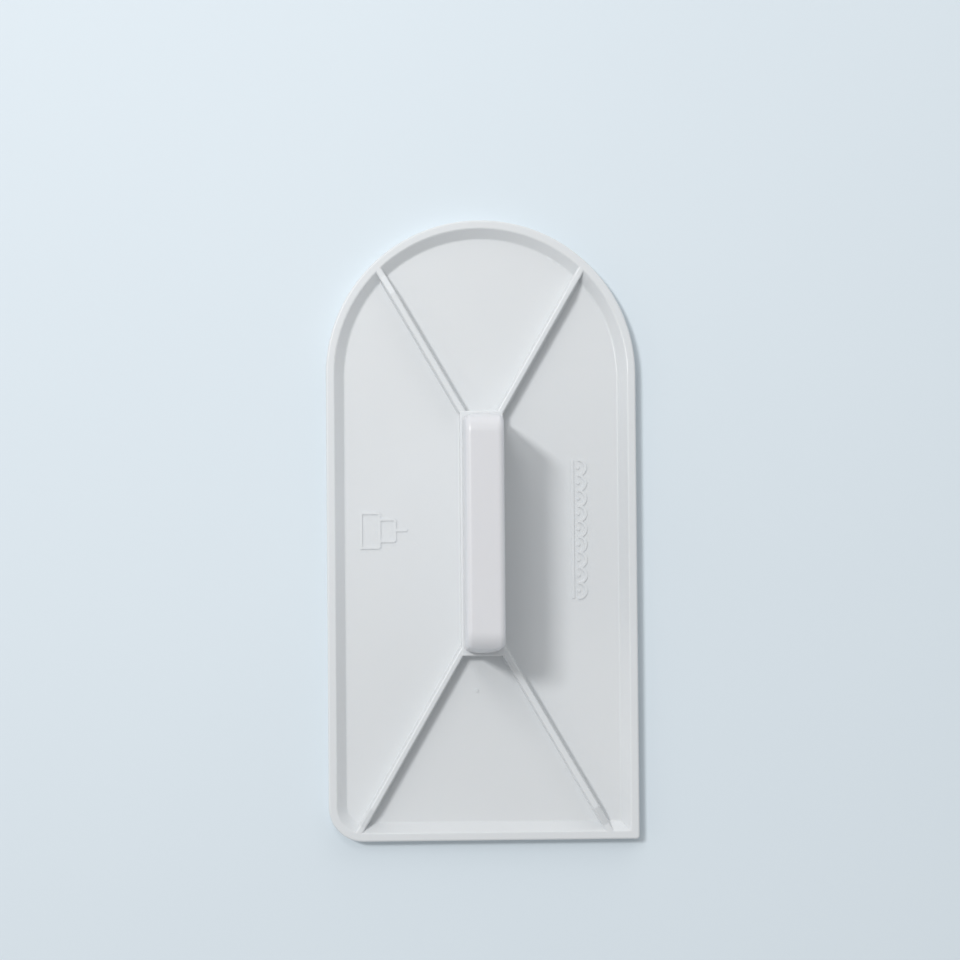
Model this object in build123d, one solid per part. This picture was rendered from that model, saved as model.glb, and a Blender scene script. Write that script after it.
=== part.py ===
from build123d import *
import os
from math import asin, atan2, cos, degrees, pi, radians, sin, sqrt, tan

# Icing smoother: a D-shaped tray with a flat polished face below, and a narrow hollow handle stuck into a
# shallow socket on top. Millimetres. The work face lies at z = 0, +Z runs up the handle, +Y points to the
# round end, and the origin is the middle of the work face.

# The plate moulding
plate_length = 150.0        # straight end to the top of the round end
plate_width = 75.0          # between the two straight sides
plate_floor = 2.0           # thickness of the floor
rim_height = 4.3            # work face to the top of the rim
rim_width = 2.0             # across the top of the rim
rim_slope = 2.3             # how much the rim widens from its top to the floor
rim_round = 0.5             # both upper edges of the rim
floor_fillet = 0.6          # hollow round between floor and rim
work_edge_round = 0.25      # edge around the work face
soft_corner = 8.4           # the rounded corner of the straight end
square_corner = 0.8         # the corner kept nearly square, for crisp edges
foot_round = 0.45           # where socket and ribs rise from the floor
foot_dip = 0.03             # depth below the floor at which a rib's foot runs level

# The socket that holds the handle
socket_length = 59.0
socket_width = 10.4
socket_wall = 1.5
socket_height = 4.2         # above the plate's floor
socket_round = 0.3          # its outer upper edge
handle_setback = 0.9        # middle of the socket to the middle of the plate, towards the straight end

# The four ribs, each run from a corner of the socket to the rim, as if the socket stood in the middle
rib_angle = 30.0            # degrees from the long axis
rib_width = 1.85            # at the floor
rib_height = 4.1            # above the floor
rib_draft = 2.0             # degrees on each side
rib_round = 0.5             # its two upper edges
rib_run_out = 5.0           # length over which it comes down to the height of the rim

# The handle shell
handle_height = 30.0        # above the plate's floor
foot_ledge = 0.6            # width of the socket's top that shows around the handle
end_sweep = 1.5             # how far each end leans in from the foot to the crown
side_sweep = 0.1            # the same for each side
end_bow = 0.8               # how far the two ends bulge in plan
plan_corner = 1.5           # upright corners
crown_drop = 4.8            # top to the crown, above which the sides are upright
end_roll = 4.2              # length over which each end of the top rolls over
end_roll_radius = 4.6
top_edge_round = 1.4        # edges around the top
skirt_gap = 0.12            # skirt to socket, all round
skirt_lift = 0.5            # skirt to the plate's floor
skirt_wall = 1.2            # along its sides
grip_wall = 1.8             # along its sides
end_wall = 2.7              # at both ends, where the roll thins the grip
roof_wall = 2.0             # below the top
cement_thickness = 0.1      # under the handle's foot
cement_setback = 0.25       # edge of the foot to the edge of the cement

# Low marks on the floor, one each side of the handle
mark_height = 0.25
mark_line = 0.6
mark_offset = 23.7          # from the long axis to the middle of each mark
cake_width = 9.1
cake_height = 11.1
cake_tier_shares = [(0.46, 0.0, 0.40), (0.29, 0.40, 0.74)]    # half width, bottom and top of each tier
border_length = 33.6
border_scallops = 9
border_rail_gap = 1.3       # between the straight rail and the feet of the scallops
bead_size = 0.8
gate_size = 0.9             # stub left where the plastic was let into the mould
gate_distance = 38.9        # from the middle of the plate, towards the straight end
gate_offset = 1.6           # from the long axis, to the left
gate_height = 0.3


def plate_outline(inset):
    """The plate seen from above, drawn inside its outer edge by the inset."""
    side = plate_width / 2 - inset
    end = -plate_length / 2 + inset
    shoulder = (plate_length - plate_width) / 2
    corner = soft_corner - inset
    corner_mid = corner * (1 - cos(pi / 4))
    edges = [
        Line((side, end), (side, shoulder)),
        ThreePointArc((side, shoulder), (0, shoulder + side), (-side, shoulder)),
        Line((-side, shoulder), (-side, end + corner)),
        ThreePointArc((-side, end + corner), (corner_mid - side, end + corner_mid), (corner - side, end)),
        Line((corner - side, end), (side, end)),
    ]
    return make_face(edges)


def tray():
    """Floor and rim, with the sloped inner wall and the hollow round at its foot."""
    block = extrude(plate_outline(0), rim_height)
    corner = block.edges().filter_by(Axis.Z).sort_by(lambda edge: edge.center().X - edge.center().Y)[-1]
    block = fillet(corner, square_corner)
    depth = rim_height - plate_floor
    mouth = Pos(0, 0, rim_height) * plate_outline(rim_width)
    hollow = extrude(mouth, -depth, taper=degrees(atan2(rim_slope, depth)))
    hollow = fillet(hollow.faces().sort_by(Axis.Z)[0].edges(), floor_fillet)
    body = block - hollow
    body = fillet(body.faces().sort_by(Axis.Z)[-1].edges(), rim_round)
    return fillet(body.faces().sort_by(Axis.Z)[0].edges(), work_edge_round)


def rib_reach(end):
    """Distance along a rib from its corner to the rim, at the straight (-1) or round (+1) end."""
    start_x = socket_width / 2
    start_y = end * socket_length / 2
    if end < 0:
        return (plate_length / 2 - rim_width + start_y) / cos(radians(rib_angle))
    centre_y = (plate_length - plate_width) / 2
    along = start_x * sin(radians(rib_angle)) + (start_y - centre_y) * cos(radians(rib_angle))
    apart = start_x ** 2 + (start_y - centre_y) ** 2
    return sqrt(along ** 2 - apart + (plate_width / 2 - rim_width) ** 2) - along


def rib_section(side, end, distance, height):
    """Cross-section of a rib at a distance outwards from its corner, soft at its crest and feet."""
    heading = Vector(side * sin(radians(rib_angle)), end * cos(radians(rib_angle)), 0)
    corner = Vector(side * socket_width / 2, end * socket_length / 2, plate_floor)
    place = Plane(origin=corner + heading * distance, x_dir=Vector(0, 0, 1).cross(heading), z_dir=heading)
    waist = rib_width / 2
    foot = waist + foot_round
    crest = waist - height * tan(radians(rib_draft))
    right = [(foot, -plate_floor / 2), (foot, -foot_dip), (waist, -foot_dip), (crest, height)]
    left = [(-across, up) for across, up in reversed(right)]
    section = Polygon(*right, *left, align=None)
    section = fillet(section.vertices().filter_by(lambda spot: spot.Y > height / 2), rib_round)
    feet = [spot for spot in section.vertices() if abs(spot.X) < (waist + foot) / 2 and spot.Y < height / 2]
    return place * fillet(feet, foot_round)


def rib(side, end):
    """One rib, from within the socket's corner to within the rim."""
    start = -(rib_width / 2 + foot_round) / tan(radians(rib_angle))
    level = rib_reach(end) - rib_width
    turn = level - rib_run_out
    finish = rib_reach(end) + rim_width
    high = rib_section(side, end, turn, rib_height)
    low = rib_section(side, end, level, rim_height - plate_floor)
    bar = extrude(rib_section(side, end, start, rib_height), turn - start)
    bar += loft([high, low], ruled=True)
    bar += extrude(low, finish - level)
    return bar & extrude(plate_outline(rim_width / 2), plate_floor + rib_height)


def socket():
    """The upright frame that the handle's skirt goes into, rooted in the floor."""
    root = plate_floor / 2
    frame = extrude(Rectangle(socket_width, socket_length), root + socket_height)
    frame = fillet(frame.faces().sort_by(Axis.Z)[-1].edges(), socket_round)
    return Pos(0, -handle_setback, plate_floor - root) * frame


def soften_foot(plate):
    """Ease the edge where the socket rises from the floor."""
    foot = []
    for edge in plate.edges():
        middle = edge.center()
        on_floor = abs(middle.Z - plate_floor) < foot_dip
        at_socket = abs(middle.X) < socket_width and abs(middle.Y + handle_setback) < (socket_length + socket_width) / 2
        if on_floor and at_socket:
            foot.append(edge)
    return fillet(foot, foot_round)


def socket_hollow():
    """The space inside the socket, above the floor and past the top of the ribs."""
    space = Rectangle(socket_width - 2 * socket_wall, socket_length - 2 * socket_wall)
    return Pos(0, -handle_setback, plate_floor) * extrude(space, rim_height)


def raise_mark(outline, height):
    """Turn a flat outline on the floor into low relief that is rooted in the floor."""
    root = plate_floor / 2
    return Pos(0, 0, plate_floor - root) * extrude(outline, root + height)


def cake_mark():
    """A two-tier cake with a candle, drawn in raised lines, its top towards the handle."""
    lines = [Line((-cake_width / 2, 0), (cake_width / 2, 0))]
    for half_share, low_share, high_share in cake_tier_shares:
        half = half_share * cake_width
        low = low_share * cake_height
        high = high_share * cake_height
        lines.append(Line((-half, low), (-half, high)))
        lines.append(Line((-half, high), (half, high)))
        lines.append(Line((half, high), (half, low)))
    lines.append(Line((0, cake_tier_shares[-1][2] * cake_height), (0, cake_height)))
    drawing = Sketch() + [trace(line, mark_line) for line in lines]
    return Pos(-mark_offset - cake_height / 2, 0, 0) * Rot(0, 0, -90) * raise_mark(drawing, mark_height)


def border_mark():
    """A piped border in raised lines: a straight rail, a row of scallops and a bead in each scallop."""
    pitch = border_length / border_scallops
    radius = pitch / 2
    x = border_rail_gap
    drawing = trace(Line((0, -border_length / 2), (0, border_length / 2)), mark_line)
    for step in range(border_scallops):
        y = (step + 0.5) * pitch - border_length / 2
        drawing += trace(ThreePointArc((x, y - radius), (x + radius, y), (x, y + radius)), mark_line)
        drawing += Pos(x, y) * Circle(bead_size / 2)
    return Pos(mark_offset - (x + radius) / 2, 0, 0) * raise_mark(drawing, mark_height)


def smoothing_plate():
    """The whole plate moulding."""
    plate = soften_foot(tray() + socket())
    for side in (-1, 1):
        for end in (-1, 1):
            plate += rib(side, end)
    plate -= socket_hollow()
    plate += cake_mark()
    plate += border_mark()
    plate += Pos(-gate_offset, -gate_distance, 0) * raise_mark(Circle(gate_size / 2), gate_height)
    return plate


def handle_outline(length, width):
    """The handle's plan shape: straight sides, bowed ends and rounded corners."""
    half_length = length / 2
    half_width = width / 2
    straight = half_length - end_bow
    edges = [
        Line((half_width, -straight), (half_width, straight)),
        ThreePointArc((half_width, straight), (0, half_length), (-half_width, straight)),
        Line((-half_width, straight), (-half_width, -straight)),
        ThreePointArc((-half_width, -straight), (0, -half_length), (half_width, -straight)),
    ]
    outline = make_face(edges)
    return fillet(outline.vertices(), plan_corner)


def foot_size():
    """Length and width of the handle where it stands on the socket."""
    return socket_length - 2 * foot_ledge, socket_width - 2 * foot_ledge


def crown_size():
    """Length and width of the handle just below its top."""
    length, width = foot_size()
    return length - 2 * end_sweep, width - 2 * side_sweep


def skirt_size():
    """Length and width of the skirt that goes into the socket."""
    less = 2 * socket_wall + 2 * skirt_gap
    return socket_length - less, socket_width - less


def grip(foot, crown):
    """The solid body of the handle from its foot to its crown, with ends that lean in."""
    at_foot = Pos(0, 0, foot) * handle_outline(*foot_size())
    at_crown = Pos(0, 0, crown) * handle_outline(*crown_size())
    return loft([at_foot, at_crown], ruled=True)


def cap(crown, top):
    """The top of the handle: flat, rolled over at both ends, with softened edges."""
    length, width = crown_size()
    flat = length / 2 - end_roll
    turn = asin((end_roll + end_bow / 4) / end_roll_radius)
    reach = flat + end_roll_radius * sin(turn)
    low = top - end_roll_radius * (1 - cos(turn))
    half_way = (flat + end_roll_radius * sin(turn / 2), top - end_roll_radius * (1 - cos(turn / 2)))
    profile = [
        Line((-reach, crown), (reach, crown)),
        Line((reach, crown), (reach, low)),
        ThreePointArc((reach, low), half_way, (flat, top)),
        Line((flat, top), (-flat, top)),
        ThreePointArc((-flat, top), (-half_way[0], half_way[1]), (-reach, low)),
        Line((-reach, low), (-reach, crown)),
    ]
    side_view = Plane.YZ * make_face(profile)
    block = extrude(Pos(0, 0, crown) * handle_outline(length, width), top - crown)
    block &= extrude(side_view, width, both=True)
    rising = top - end_roll_radius
    loop = [edge for edge in block.edges() if edge.bounding_box().min.Z > rising]
    return fillet(loop, top_edge_round)


def core(bottom, roof):
    """The hollow inside the handle, narrower towards the roof so that its core can be drawn."""
    skirt_length, skirt_width = skirt_size()
    crown_length, crown_width = crown_size()
    mouth = Rectangle(skirt_width - 2 * skirt_wall, skirt_length - 2 * end_wall)
    ceiling = Rectangle(crown_width - 2 * grip_wall, crown_length - 2 * end_wall)
    return loft([Pos(0, 0, bottom) * mouth, Pos(0, 0, roof) * ceiling], ruled=True)


def handle_shell():
    """The hollow handle: skirt, tapered grip and soft top, open below."""
    foot = plate_floor + socket_height + cement_thickness
    top = plate_floor + handle_height
    crown = top - crown_drop
    bottom = plate_floor + skirt_lift
    skirt_length, skirt_width = skirt_size()
    skirt = Pos(0, 0, bottom) * extrude(Rectangle(skirt_width, skirt_length), foot - bottom)
    body = skirt + grip(foot, crown) + cap(crown, top)
    return Pos(0, -handle_setback, 0) * (body - core(bottom, top - roof_wall))


def cement_line():
    """The set cement: a sleeve between skirt and socket, and a thin flange under the handle's foot."""
    length, width = foot_size()
    skirt_length, skirt_width = skirt_size()
    height = socket_height - skirt_lift + cement_thickness
    sleeve = extrude(Rectangle(socket_width - 2 * socket_wall, socket_length - 2 * socket_wall), height)
    under_foot = handle_outline(length - 2 * cement_setback, width - 2 * cement_setback)
    flange = Pos(0, 0, height - cement_thickness) * extrude(under_foot, cement_thickness)
    skirt_room = extrude(Rectangle(skirt_width, skirt_length), height)
    return Pos(0, -handle_setback, plate_floor + skirt_lift) * (sleeve + flange - skirt_room)


os.makedirs("parts", exist_ok=True)
export_step(smoothing_plate(), "parts/smoothing_plate.step")
export_step(handle_shell(), "parts/handle_shell.step")
export_step(cement_line(), "parts/cement_line.step")
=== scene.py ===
# %% [markdown]
# # Dressing an icing smoother
# An icing smoother is a hand tool for polishing the icing of a cake: a flat plate with a rim and ribs, and a
# narrow handle stuck on top. Both mouldings are white polystyrene, so there is no colour to lean on. What
# makes them look real is the light on them: soft shadows beside thin walls, small rounds that catch a
# highlight, and a surface that is almost, but not quite, even. This lesson builds that up in small steps.

# %% [markdown]
# ## The packed model
# The plate, the handle and the cement between them come from a CAD model that already has every wall and
# round of the mould. They could be modelled again with Blender's own tools, but on a plain moulding that
# would only blur what the CAD has sharp. So the meshes stay as they are, and the lesson adds what CAD can't
# give: finish and light.

# %% Load the packed model
from math import pi, radians, tan

import bpy
from mathutils import Matrix, Vector

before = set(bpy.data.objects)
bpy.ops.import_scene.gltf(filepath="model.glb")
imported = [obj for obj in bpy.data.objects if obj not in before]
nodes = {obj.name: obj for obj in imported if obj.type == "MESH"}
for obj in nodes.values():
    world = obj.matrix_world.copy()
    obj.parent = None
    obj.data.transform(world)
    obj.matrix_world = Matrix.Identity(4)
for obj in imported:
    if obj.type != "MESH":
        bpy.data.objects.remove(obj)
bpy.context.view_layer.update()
MM = 0.001


print("pieces:", sorted(nodes))

# %% [markdown]
# ## The camera
# The tool is seen from straight above, from rather more than half a metre, a little left of its middle and
# nearer to its straight end. That is why the handle leans to the upper right in the picture. The camera
# could simply be tilted towards the tool, but then its parallel sides would draw together. A shifted lens
# keeps them parallel. A small shift does half of the work here and a slight tilt does the rest, so that the
# frame still holds the whole tool from other sides.

# %% The camera
CAMERA_PLACE = Vector((-15.1, -8.8, 550.0)) * MM
CAMERA_AIM = Vector((-0.40, 0.46, 0.0)) * MM
CAMERA_ROLL = radians(-0.47)
CAMERA_LENS = 84.75
CAMERA_SHIFT = 0.05
TOWARDS_ROUND_END = Vector((0, 1, 0))

lens = bpy.data.cameras.new("camera")
lens.lens = CAMERA_LENS
lens.shift_y = CAMERA_SHIFT
camera = bpy.data.objects.new("camera", lens)
back = (CAMERA_PLACE - CAMERA_AIM).normalized()
right = TOWARDS_ROUND_END.cross(back).normalized()
up = back.cross(right)
turn = Matrix((right, up, back)).transposed() @ Matrix.Rotation(CAMERA_ROLL, 3, "Z")
camera.matrix_world = Matrix.Translation(CAMERA_PLACE) @ turn.to_4x4()
bpy.context.scene.collection.objects.link(camera)
bpy.context.scene.camera = camera
print("camera in mm:", [round(value / MM, 1) for value in camera.location])

# %% [markdown]
# ## Sums on sockets
# A Blender material is a net of nodes. Written out one node and one link at a time it is hard to read, so
# one small class wraps an output socket and lets it be used in ordinary sums: `grain * 0.2 + 0.9` adds the
# two Math nodes by itself, and `1 - grain` works too. Every other node comes from the `node` method, which
# takes the node's type, its settings, and the values or links for its sockets. Two kinds are used so often
# that they get a short name: `noise`, and `blend`, which mixes two colours, because a Math node would turn
# them grey. `feed` links the result into the shader.


# %% A wire that can be used in sums
class Wire:
    """An output socket in a material. Sums on it add Math nodes."""

    def __init__(self, tree, socket=None):
        self.tree = tree
        self.socket = socket

    def node(self, kind, settings=None, sockets=None, out=0):
        """Add a node of any kind: its settings first, then the values or links of its sockets."""
        made = self.tree.nodes.new(kind)
        for name, value in (settings or {}).items():
            setattr(made, name, value)
        for name, value in (sockets or {}).items():
            if isinstance(value, Wire):
                self.tree.links.new(value.socket, made.inputs[name])
            else:
                made.inputs[name].default_value = value
        return Wire(self.tree, made.outputs[out])

    def sum(self, operation, first, second):
        """Add one Math node."""
        return self.node("ShaderNodeMath", {"operation": operation}, {0: first, 1: second})

    def noise(self, place, scale, detail):
        """Add a noise around 0.5. Its scale is the number of its blotches in a metre."""
        return self.node("ShaderNodeTexNoise", {}, {"Vector": place, "Scale": scale, "Detail": detail})

    def blend(self, first, second):
        """Mix two colours. The node keeps them in its sockets 6 and 7, and the mixed colour in output 2."""
        return self.node("ShaderNodeMix", {"data_type": "RGBA"}, {0: self, 6: first, 7: second}, out=2)

    def feed(self, shader, name):
        """Link this wire into a socket of the shader."""
        self.tree.links.new(self.socket, shader.inputs[name])

    def __add__(self, other):
        return self.sum("ADD", self, other)

    def __sub__(self, other):
        return self.sum("SUBTRACT", self, other)

    def __rsub__(self, other):
        return self.sum("SUBTRACT", other, self)

    def __mul__(self, other):
        return self.sum("MULTIPLY", self, other)

    def __gt__(self, other):
        return self.sum("GREATER_THAN", self, other)

    def __lt__(self, other):
        return self.sum("LESS_THAN", self, other)

    __radd__ = __add__
    __rmul__ = __mul__


print("sums that also work with the number first:", [name for name in vars(Wire) if name.startswith("__r")])

# %% [markdown]
# ## A new finish
# Both plastics, the cement and the floor start in the same way: with Blender's Principled shader, which is
# made for plastic and much else, and with the place of each point on its own piece. Texture coordinates from
# an unwrapped mesh would do as well, but CAD meshes have none, and the point's own place needs none.


# %% Starting a finish
def start_finish(name):
    """A new material, its shader, an empty wire to add nodes with, and the place of each point."""
    material = bpy.data.materials.new(name)
    material.use_nodes = True
    tree = Wire(material.node_tree)
    place = tree.node("ShaderNodeTexCoord", out="Object")
    print("finish:", name)
    return material, material.node_tree.nodes["Principled BSDF"], tree, place


def dress(piece, finish):
    """Give one piece of the packed model its finish."""
    mesh = nodes[piece].data
    mesh.materials.clear()
    mesh.materials.append(finish)
    print(piece, "wears", finish.name)


print("pieces to dress:", len(nodes))

# %% [markdown]
# ## White polystyrene
# Moulded polystyrene is a clean white with a faint cloudiness a few centimetres across. Its skin has slight
# waves where it shrank in the mould, and a grain that it copied from the steel. Light goes a little way into
# it, which softens thin walls. One flat colour would look like paint. Three noises of very different size
# give the cloudiness, the waves and the grain, and a small share of the light is scattered under the skin.

# %% The sizes of the cloudiness, the waves and the grain
CLOUD_SCALE = 28.0
CLOUD_DETAIL = 3.0
RIPPLE_SCALE = 160.0
GRAIN_SCALE = 2600.0
FINE_DETAIL = 2.0
NOISE_MIDDLE = 0.5
GRAIN_IN_ROUGHNESS = 0.1
GRAIN_IN_RELIEF = 0.15
RELIEF_HEIGHT = 0.02 * MM
print("blotches in mm:", [round(1 / scale / MM, 2) for scale in (CLOUD_SCALE, RIPPLE_SCALE, GRAIN_SCALE)])

# %% A moulded white plastic
FACE_LEVEL = 0.15 * MM
POLYSTYRENE_IOR = 1.59
BLEED_SHARE = 0.35
BLEED_REACH = (1.0, 0.95, 0.9)
BLEED_DEPTH = 0.5 * MM


def plastic(name, white, shade, rough, polished):
    """A moulded white plastic: rough is its roughness above FACE_LEVEL, and polished the one below."""
    material, shader, tree, place = start_finish(name)
    cloud = tree.noise(place, CLOUD_SCALE, CLOUD_DETAIL)
    grain = tree.noise(place, GRAIN_SCALE, FINE_DETAIL)
    ripple = tree.noise(place, RIPPLE_SCALE, FINE_DETAIL)
    height = tree.node("ShaderNodeSeparateXYZ", {}, {0: place}, out="Z")
    upper = height > FACE_LEVEL
    roughness = polished + upper * (rough - polished) + (grain - NOISE_MIDDLE) * GRAIN_IN_ROUGHNESS
    relief = grain * GRAIN_IN_RELIEF + ripple
    bump = tree.node("ShaderNodeBump", {}, {"Height": relief, "Distance": RELIEF_HEIGHT, "Strength": 1.0})
    cloud.blend(white, shade).feed(shader, "Base Color")
    roughness.feed(shader, "Roughness")
    bump.feed(shader, "Normal")
    shader.inputs["IOR"].default_value = POLYSTYRENE_IOR
    shader.inputs["Subsurface Weight"].default_value = BLEED_SHARE
    shader.inputs["Subsurface Radius"].default_value = BLEED_REACH
    shader.inputs["Subsurface Scale"].default_value = BLEED_DEPTH
    return material


print("polished up to", round(FACE_LEVEL / MM, 2), "mm above the table")

# %% [markdown]
# ## The plate
# The plate is the larger moulding: a flat that glides over the icing, with a rim and ribs that keep it stiff
# and a socket for the handle. One gloss all over would be simpler, but a maker polishes only the half of the
# mould that forms the work face, because that face leaves the icing smooth. The upper side keeps a satin
# skin. The finish changes in the small round about the work face, so that no line shows.

# %% The plate's finish
PLATE_WHITE = (0.725, 0.745, 0.757, 1)
PLATE_SHADE = (0.70, 0.722, 0.738, 1)
PLATE_SATIN = 0.35
PLATE_POLISH = 0.08
dress("smoothing_plate", plastic("plate plastic", PLATE_WHITE, PLATE_SHADE, PLATE_SATIN, PLATE_POLISH))

# %% [markdown]
# ## The handle
# The handle is a narrow hollow box, held between fingers and thumb. It comes from a mould of its own, and
# its white is a touch rosier than the plate's. One material for both would do from afar, but two whites that
# hardly differ tell the eye that these are two mouldings. Its skin is satin all round, so both of its
# roughnesses are the same.

# %% The handle's finish
HANDLE_WHITE = (0.712, 0.714, 0.735, 1)
HANDLE_SHADE = (0.692, 0.695, 0.717, 1)
HANDLE_SATIN = 0.34
dress("handle_shell", plastic("handle plastic", HANDLE_WHITE, HANDLE_SHADE, HANDLE_SATIN, HANDLE_SATIN))

# %% [markdown]
# ## The cement
# Solvent cement holds the foot of the handle in its socket. Once set it is the same plastic again, with a
# milky and duller skin. So little of it shows that it could share the plate's finish, but a joint looks
# like a joint because it is a shade darker than both its sides.

# %% The cement's finish
CEMENT_MILKY = (0.70, 0.71, 0.71, 1)
CEMENT_SHADE = (0.65, 0.66, 0.66, 1)
CEMENT_DULL = 0.45
dress("cement_line", plastic("set cement", CEMENT_MILKY, CEMENT_SHADE, CEMENT_DULL, CEMENT_DULL))

# %% [markdown] ## The floor The tool lies on a pale table with a hint of blue. An empty pale world would
# frame it as well, but then it would float, because nothing takes its shadow. One large sheet is enough. It
# lies a hair below the work face, since two faces in the same place flicker, and it has a slow cloudiness
# of its own.

# %% The floor
FLOOR_PALE = (0.71, 0.785, 0.835, 1)
FLOOR_SHADE = (0.69, 0.765, 0.82, 1)
FLOOR_CLOUD_SCALE = 9.0
FLOOR_CLOUD_DETAIL = 4.0
FLOOR_ROUGHNESS = 0.6
FLOOR_REACH = 6.0
FLOOR_DROP = 0.02 * MM
FLOOR_CORNERS = ((-1, -1), (1, -1), (1, 1), (-1, 1))


def floor_finish():
    """The pale table, almost matt."""
    material, shader, tree, place = start_finish("floor")
    cloud = tree.noise(place, FLOOR_CLOUD_SCALE, FLOOR_CLOUD_DETAIL)
    cloud.blend(FLOOR_PALE, FLOOR_SHADE).feed(shader, "Base Color")
    shader.inputs["Roughness"].default_value = FLOOR_ROUGHNESS
    return material


sheet = bpy.data.meshes.new("floor")
sheet.from_pydata([(x * FLOOR_REACH, y * FLOOR_REACH, 0) for x, y in FLOOR_CORNERS], [], [(0, 1, 2, 3)])
floor = bpy.data.objects.new("floor", sheet)
floor.location.z = -FLOOR_DROP
bpy.context.scene.collection.objects.link(floor)
sheet.materials.append(floor_finish())
print("floor:", 2 * FLOOR_REACH, "m square")

# %% [markdown]
# ## The surround
# In a studio most of the light on a white thing comes from the pale walls around it. Many large lamps could
# stand for them, but an even world colour does it with no noise and no edges. The Standard view shows the
# whites as they are, where other views would dull them.

# %% The surround
SURROUND_COLOUR = (0.97, 0.985, 1.0, 1)
SURROUND_STRENGTH = 0.41
bpy.context.scene.view_settings.view_transform = "Standard"
world = bpy.data.worlds.new("surround")
world.use_nodes = True
background = world.node_tree.nodes["Background"]
background.inputs["Color"].default_value = SURROUND_COLOUR
background.inputs["Strength"].default_value = SURROUND_STRENGTH
bpy.context.scene.world = world
print("surround:", SURROUND_STRENGTH)

# %% [markdown]
# ## The lamps
# A sun or a spot would light the tool too, but how soft a shadow is depends on how large the lamp looks from
# the plate. So each lamp here is a box whose width and height are given in degrees, as the plate sees it.
# Its energy grows with the square of its distance, so that moving it leaves its brightness as it was.
# The key comes from the upper left. It is tall and narrow, which gives a crisp edge to the shadow that runs
# away from the light and a soft one to the shadow that lies across it. A weaker tall box on the far side
# leaves a second, paler shadow below the handle's near end. Two wide lamps stand near the table, on the far
# side and on the left. They lift the slopes that face them, so that the inner wall of the rim comes out
# brighter than the floor of the tray at the straight end.


# %% The lamps
def soft_box(name, direction, distance, spreads, brightness):
    """A lamp that faces the plate. Its spreads are its width and height in degrees, as the plate sees it."""
    lamp = bpy.data.lights.new(name, "AREA")
    lamp.shape = "RECTANGLE"
    lamp.size, lamp.size_y = (2 * distance * tan(radians(spread / 2)) for spread in spreads)
    lamp.energy = brightness * pi * distance ** 2
    place = Vector(direction).normalized() * distance
    stand = bpy.data.objects.new(name, lamp)
    stand.matrix_world = Matrix.Translation(place) @ place.to_track_quat("Z", "Y").to_matrix().to_4x4()
    bpy.context.scene.collection.objects.link(stand)
    print(name, "at", [round(value, 2) for value in place], "m")
    print(name, "is", round(lamp.size, 2), "by", round(lamp.size_y, 2), "m")


soft_box(
    "key",
    direction=(-13.9, 9.4, 30), distance=2.5, spreads=(5, 11), brightness=1.25)
soft_box(
    "far light",
    direction=(-7.6, 14.8, 30), distance=0.5, spreads=(10, 24), brightness=0.42)
soft_box(
    "low fill from the far side",
    direction=(0.25, 0.9, 0.42), distance=1.0, spreads=(60, 40), brightness=0.77)
soft_box(
    "low fill from the left",
    direction=(-0.9, 0, 0.42), distance=1.5, spreads=(60, 40), brightness=0.34)

# %% [markdown]
# ## Sizes, and the end
# A finish adds no thickness, so the dressed tool is as large as the packed one.
